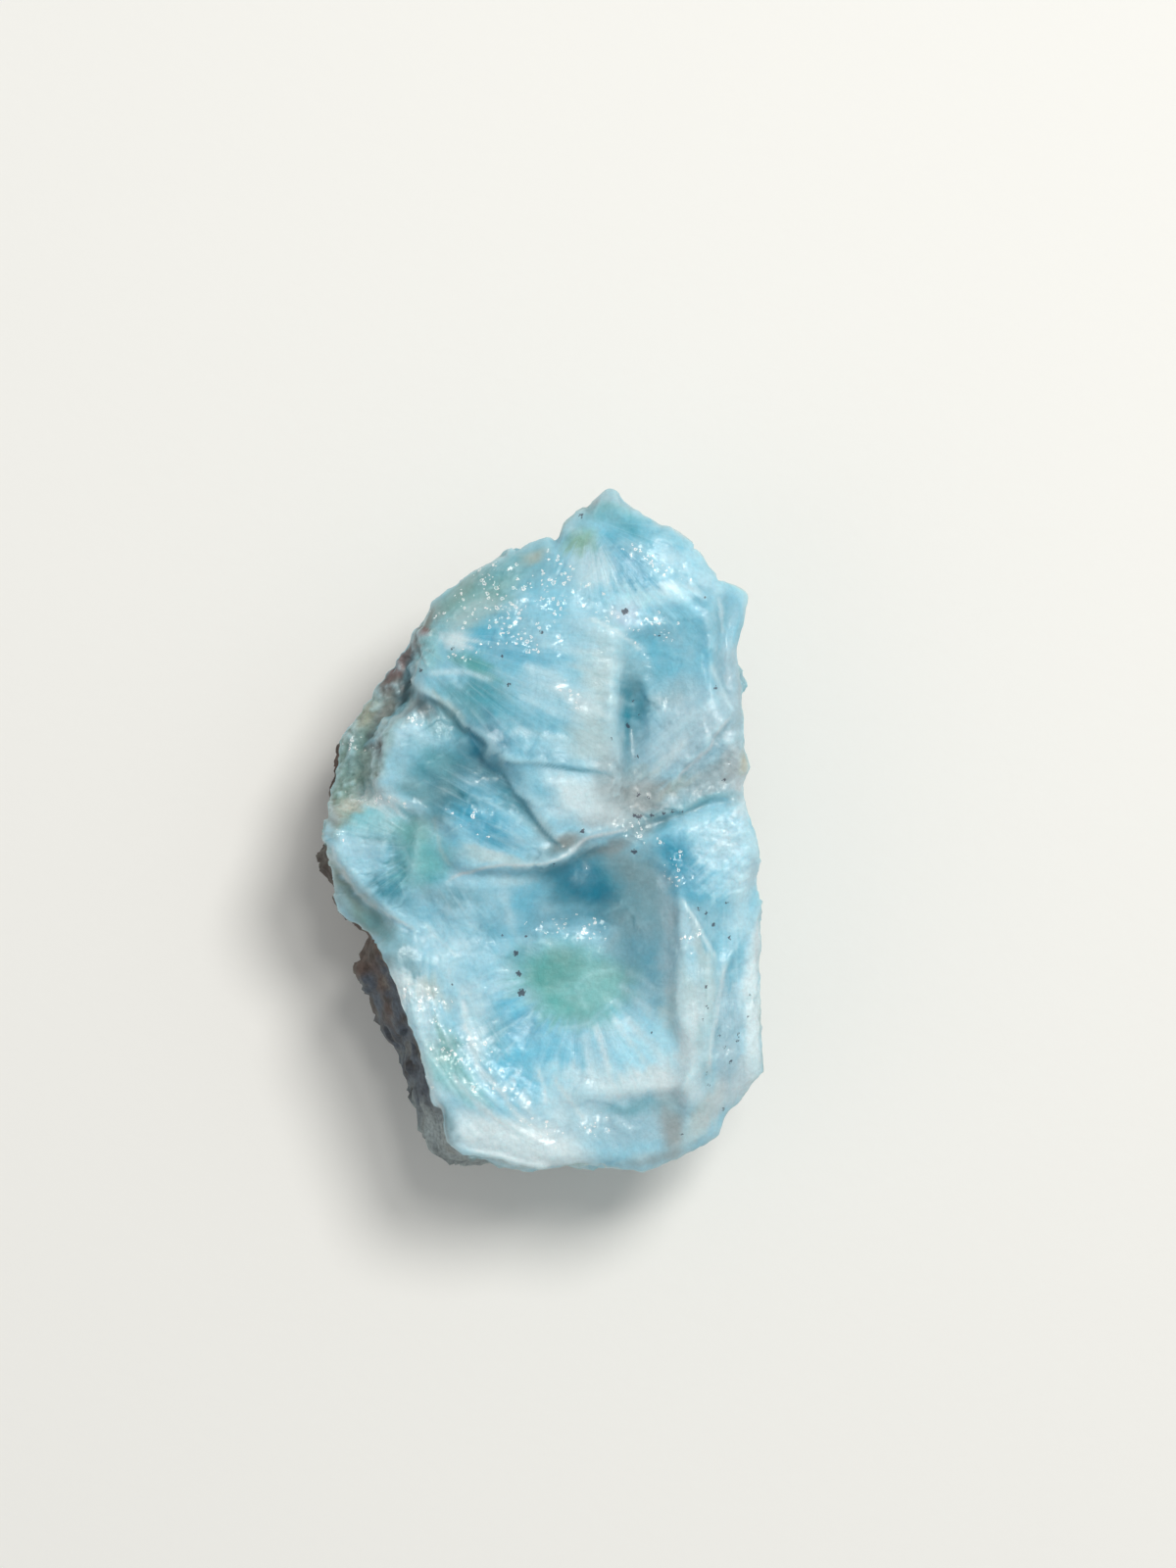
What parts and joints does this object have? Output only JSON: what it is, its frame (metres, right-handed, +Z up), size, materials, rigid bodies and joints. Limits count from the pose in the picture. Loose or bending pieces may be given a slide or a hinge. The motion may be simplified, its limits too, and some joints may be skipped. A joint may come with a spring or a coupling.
{
  "type": "rough larimar stone",
  "caption": "Rough, unpolished piece of blue and white larimar with a broken faceted face, a shallow bowl and a flat back to lie on.",
  "frame": {"origin": "middle of the bounding box at the flat back, on the surface that the stone rests on", "axes": "+Z up, out of the broad blue face; +Y towards the narrow tip, along the stone's length; +X across the face"},
  "size_m": [0.0308, 0.047, 0.018],
  "materials": {
    "larimar": "rough broken pectolite, pale blue with white fibres, sea green and deeper blue patches and dark specks, moist gloss with small glints; grey-brown host rock on the lower left flank"
  },
  "bodies": {
    "root": {"larimar": "larimar"}
  },
  "joints": []
}
